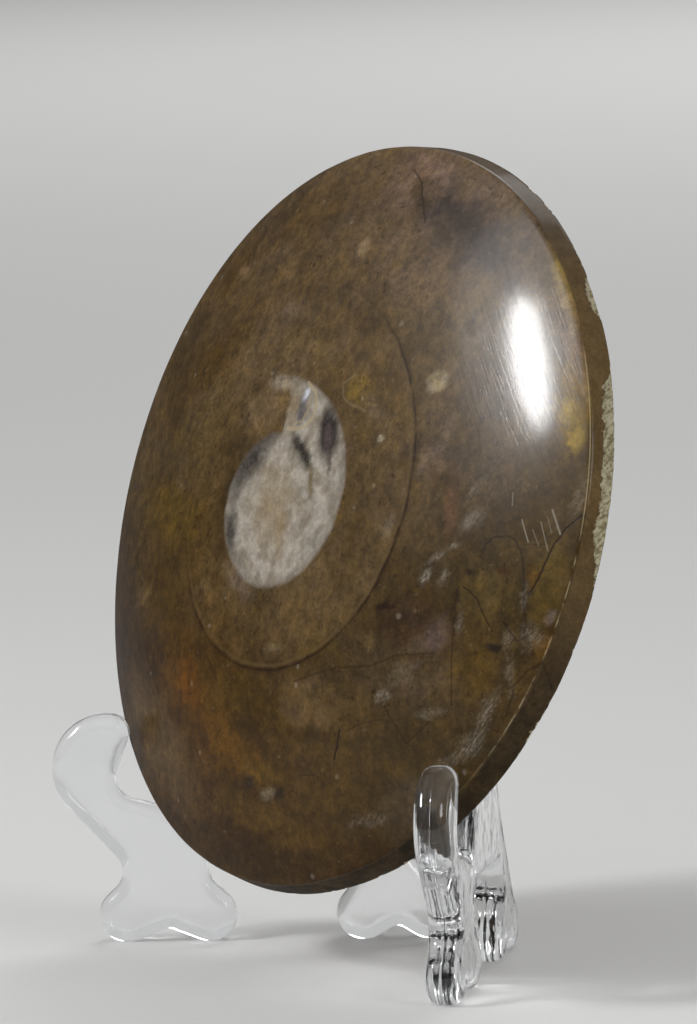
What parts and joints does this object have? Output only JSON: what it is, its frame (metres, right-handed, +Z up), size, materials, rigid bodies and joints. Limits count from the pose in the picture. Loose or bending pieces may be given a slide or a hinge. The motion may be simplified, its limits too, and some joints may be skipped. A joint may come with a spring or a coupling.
{
  "type": "ammonite fossil slice on an easel",
  "caption": "Round polished ammonite slice with a domed front and a flat sawn back, leaning on a small clear scrolled easel held together by a cross bar.",
  "frame": {"origin": "on the table, under the middle of the display's bounding box", "axes": "+Z up, the slice's polished front faces -Y and leans back towards +Y, +X to the right of someone looking at the front"},
  "size_m": [0.0982, 0.0412, 0.1048],
  "materials": {
    "fossil_stone": "polished",
    "clear_acrylic": "gloss"
  },
  "bodies": {
    "root": {"ammonite_slice": "fossil_stone", "easel_leg_left": "clear_acrylic", "easel_leg_right": "clear_acrylic", "easel_cross_bar": "clear_acrylic"}
  },
  "joints": []
}
